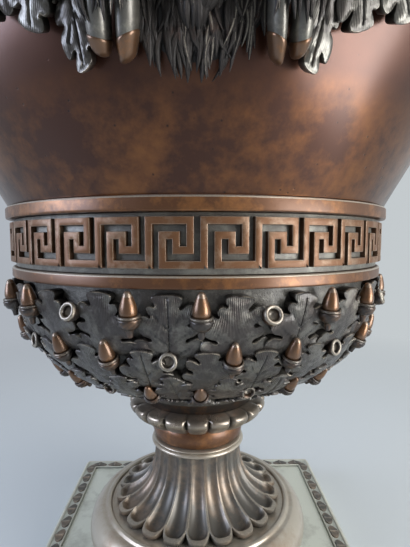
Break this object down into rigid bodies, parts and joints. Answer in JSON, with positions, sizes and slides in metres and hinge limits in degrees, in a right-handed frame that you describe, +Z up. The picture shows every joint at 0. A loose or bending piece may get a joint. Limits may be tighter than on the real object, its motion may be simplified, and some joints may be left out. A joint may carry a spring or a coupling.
{
  "type": "krater vase",
  "caption": "Patinated bronze krater vase on a square plinth, with a fluted foot, oak-leaf and acorn calyx, Greek-key frieze, goat pelts and a turned-out rim.",
  "frame": {"origin": "centre of the plinth's underside", "axes": "+Z up the vase's axis, -Y out of the face that the picture shows, +X to that face's right"},
  "size_m": [0.3368, 0.3818, 0.446],
  "materials": {
    "brown_patina": "brown patinated bronze, waxed, with rubbed orange patches",
    "rubbed_patina": "brown patinated bronze, rubbed lighter on its raised edges",
    "dark_patina": "dark grey-brown patinated bronze, cast and chased",
    "grey_patina": "dull grey-brown patinated bronze",
    "steel": "plain threaded rod, nuts and washers"
  },
  "bodies": {
    "root": {"plinth": "grey_patina", "plinth_border": "grey_patina", "foot_riser": "grey_patina", "foot_torus": "rubbed_patina", "fluted_foot": "grey_patina", "astragal": "rubbed_patina", "collar": "rubbed_patina", "gadrooned_dish": "dark_patina", "lower_bowl": "dark_patina", "oak_calyx": "dark_patina", "lower_fascia": "brown_patina", "key_band": "grey_patina", "greek_key_fret": "brown_patina", "upper_fascia": "rubbed_patina", "bowl_body": "brown_patina", "neck": "brown_patina", "rim": "brown_patina", "tie_rod": "steel", "lower_washer": "steel", "lower_nut": "steel", "upper_washer": "steel", "upper_nut": "steel", "pelt_front": "dark_patina", "goat_head_front": "brown_patina", "hoof_front_left": "rubbed_patina", "oak_branch_front_left": "dark_patina", "hoof_front_right": "rubbed_patina", "oak_branch_front_right": "dark_patina", "pelt_back": "dark_patina", "goat_head_back": "brown_patina", "hoof_back_left": "rubbed_patina", "oak_branch_back_left": "dark_patina", "hoof_back_right": "rubbed_patina", "oak_branch_back_right": "dark_patina"}
  },
  "joints": []
}
